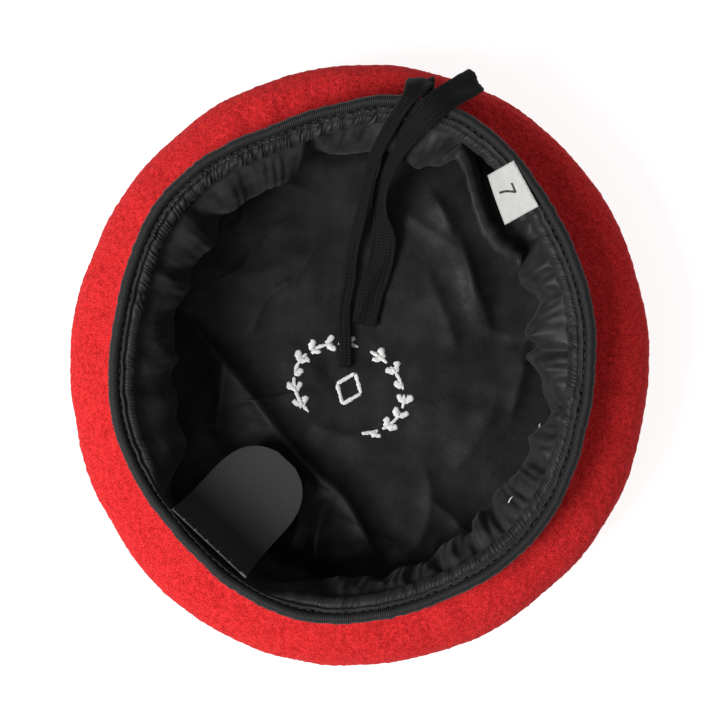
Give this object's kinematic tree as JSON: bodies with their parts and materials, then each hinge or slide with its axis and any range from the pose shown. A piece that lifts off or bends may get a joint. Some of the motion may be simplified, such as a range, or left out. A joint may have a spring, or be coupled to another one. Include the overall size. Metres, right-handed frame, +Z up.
{
  "type": "beret",
  "caption": "Round wool-felt service beret with a satin lining, ribbon-bound rim, drawcord tails, inner badge stiffener and size label, lying on its crown.",
  "frame": {"origin": "middle of the flat crown, on the surface the beret rests on, crown down", "axes": "+Z up through the head opening; +Y towards the back of the head, where the drawcord leaves the binding; +X towards the wearer's right"},
  "size_m": [0.2194, 0.2323, 0.0642],
  "materials": {
    "wool_felt": "dense milled wool felt, scarlet, matt with a short nap",
    "grosgrain_ribbon": "black ribbed ribbon, low sheen",
    "braided_tape": "black flat braid, matt",
    "satin_lining": "black satin, soft streaked sheen",
    "stiffener_board": "black leather-fibre board, fine grain, semi-matt",
    "label_ribbon": "white woven label tape with a black number",
    "black_thread": "black sewing thread",
    "white_thread": "white sewing thread"
  },
  "bodies": {
    "beret": {"felt_shell": "wool_felt", "rim_binding": "grosgrain_ribbon", "channel_drawcord": "braided_tape", "tie_tail_short": "braided_tape", "tie_tail_long": "braided_tape", "side_lining": "satin_lining", "crown_lining": "satin_lining", "binding_thread": "black_thread", "heading_thread": "black_thread", "lining_seam_thread": "black_thread", "tack_stitch_front": "white_thread", "tack_stitch_right": "white_thread"},
    "stiffener_flap": {"badge_stiffener": "stiffener_board", "stiffener_thread": "black_thread"},
    "label_flap": {"size_label": "label_ribbon", "label_thread": "white_thread"}
  },
  "joints": [
    {"name": "stiffener_lift", "type": "hinge", "parent": "beret", "child": "stiffener_flap", "pos_m": [-0.02689, -0.08142, 0.05956], "axis": [0.933, -0.36, 0], "range_deg": [0, 110]},
    {"name": "label_lift", "type": "hinge", "parent": "beret", "child": "label_flap", "pos_m": [0.03081, 0.08296, 0.06001], "axis": [-0.809, 0.5878, 0], "range_deg": [0, 100]}
  ]
}
